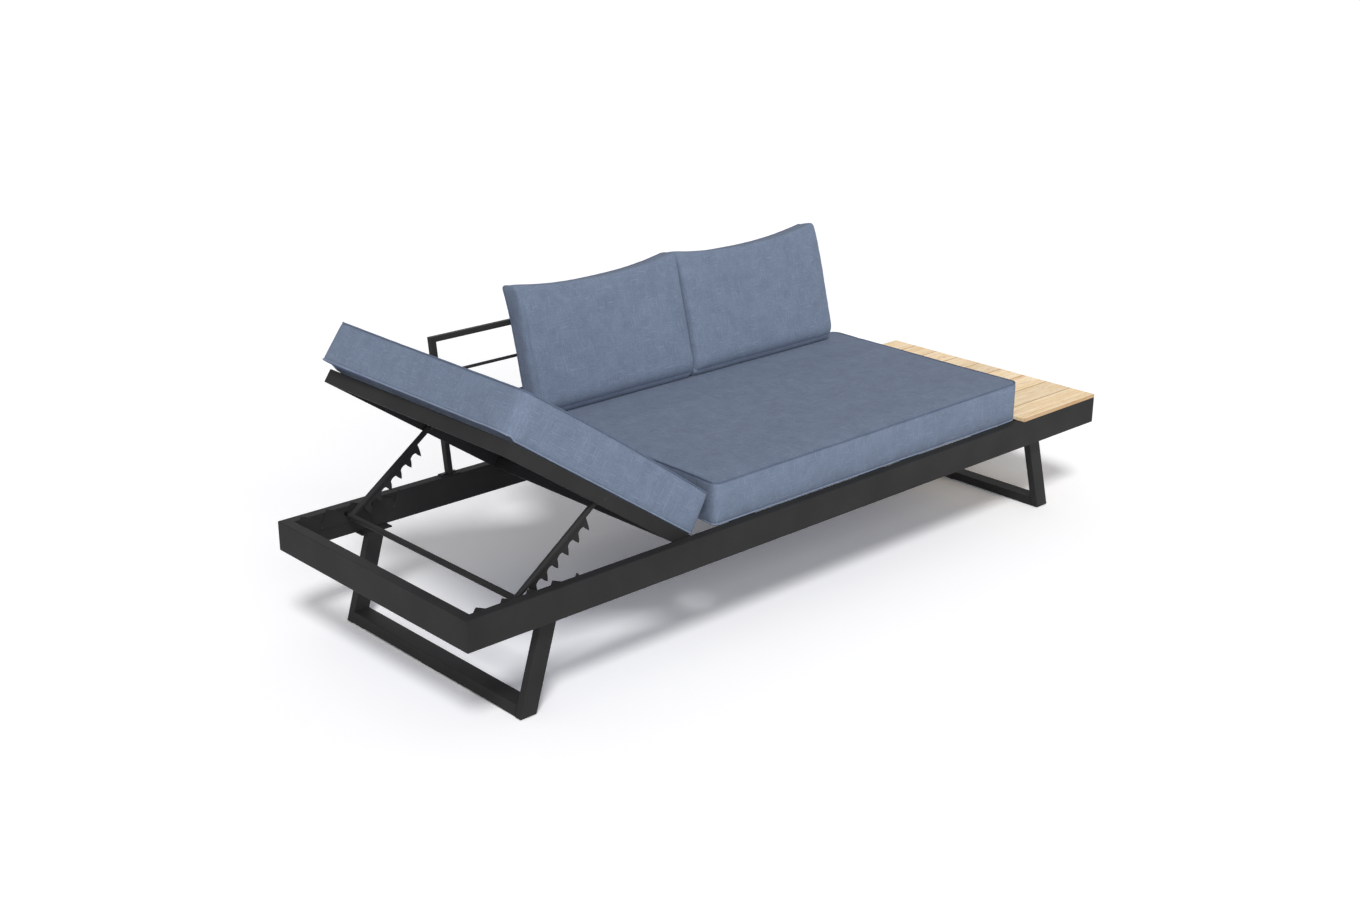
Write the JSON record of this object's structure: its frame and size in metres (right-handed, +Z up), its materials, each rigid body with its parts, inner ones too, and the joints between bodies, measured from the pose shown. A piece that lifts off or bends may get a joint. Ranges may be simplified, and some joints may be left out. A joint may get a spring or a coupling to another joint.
{
  "type": "sun lounger",
  "caption": "Low metal-framed sun lounger with a raised head panel on a toothed prop, loose seat and back cushions and a wooden side table at one end.",
  "frame": {"origin": "on the floor under the middle of the overall box", "axes": "+X from the raised head end to the table end, +Y from the open front to the backrest, +Z up"},
  "size_m": [2.39, 0.8518, 0.7993],
  "materials": {
    "frame_paint": "anthracite powder coat, fine satin texture",
    "plank_wood": "light hardwood, oiled, brown grain streaks",
    "cushion_fabric": "heathered slate-blue weave with piped edges",
    "glide_plastic": "matt black",
    "bearing_plastic": "matt black, slightly waxy",
    "black_steel": "blackened"
  },
  "bodies": {
    "base_frame": {"back_cushion_left": "cushion_fabric", "back_cushion_right": "cushion_fabric", "backrest_bolts": "black_steel", "backrest_left_post": "frame_paint", "backrest_plates": "frame_paint", "backrest_right_post": "frame_paint", "backrest_rods": "frame_paint", "backrest_top_rail": "frame_paint", "foot_glides": "glide_plastic", "front_rack": "frame_paint", "front_rail": "frame_paint", "head_rail": "frame_paint", "hinge_bolts": "black_steel", "hinge_nuts": "black_steel", "hinge_spacers": "bearing_plastic", "left_leg_flanges": "frame_paint", "left_leg_foot_bar": "frame_paint", "left_leg_front_post": "frame_paint", "left_leg_rear_post": "frame_paint", "leg_bolts": "black_steel", "panel_rests": "frame_paint", "rack_rivets": "black_steel", "rear_rack": "frame_paint", "rear_rail": "frame_paint", "right_leg_flanges": "frame_paint", "right_leg_foot_bar": "frame_paint", "right_leg_front_post": "frame_paint", "right_leg_rear_post": "frame_paint", "seat_beam_1": "frame_paint", "seat_beam_2": "frame_paint", "seat_beam_3": "frame_paint", "seat_cushion": "cushion_fabric", "seat_slats": "frame_paint", "table_beam": "frame_paint", "table_end_rail": "frame_paint", "table_plank_1": "plank_wood", "table_plank_2": "plank_wood", "table_plank_3": "plank_wood", "table_plank_4": "plank_wood", "table_plank_5": "plank_wood", "table_plank_6": "plank_wood", "table_plank_7": "plank_wood", "table_plank_8": "plank_wood", "table_plank_9": "plank_wood"},
    "head_panel": {"panel_front_rail": "frame_paint", "panel_rear_rail": "frame_paint", "panel_tip_rail": "frame_paint", "panel_lower_bar": "frame_paint", "panel_slat_1": "frame_paint", "panel_slat_2": "frame_paint", "hinge_bushes": "bearing_plastic", "prop_pivot_pins": "black_steel", "prop_pivot_nuts": "black_steel", "panel_cushion": "cushion_fabric"},
    "prop": {"prop_front_strut": "frame_paint", "prop_rear_strut": "frame_paint", "prop_cross_bar": "frame_paint", "prop_front_comb": "frame_paint", "prop_rear_comb": "frame_paint", "prop_end_pins": "black_steel"}
  },
  "joints": [
    {"name": "panel_hinge", "type": "hinge", "parent": "base_frame", "child": "head_panel", "pos_m": [-0.4805, -0.02592, 0.295], "axis": [0, 1, 0], "range_deg": [-34.5, 17.4]},
    {"name": "prop_pivot", "type": "hinge", "parent": "head_panel", "child": "prop", "pos_m": [-0.75937, -0.02592, 0.48669], "axis": [0, 1, 0], "range_deg": [-33.5, 66]}
  ],
  "couplings": [
    {"joint": "prop_pivot", "follows": "panel_hinge", "ratio": -1.901}
  ]
}
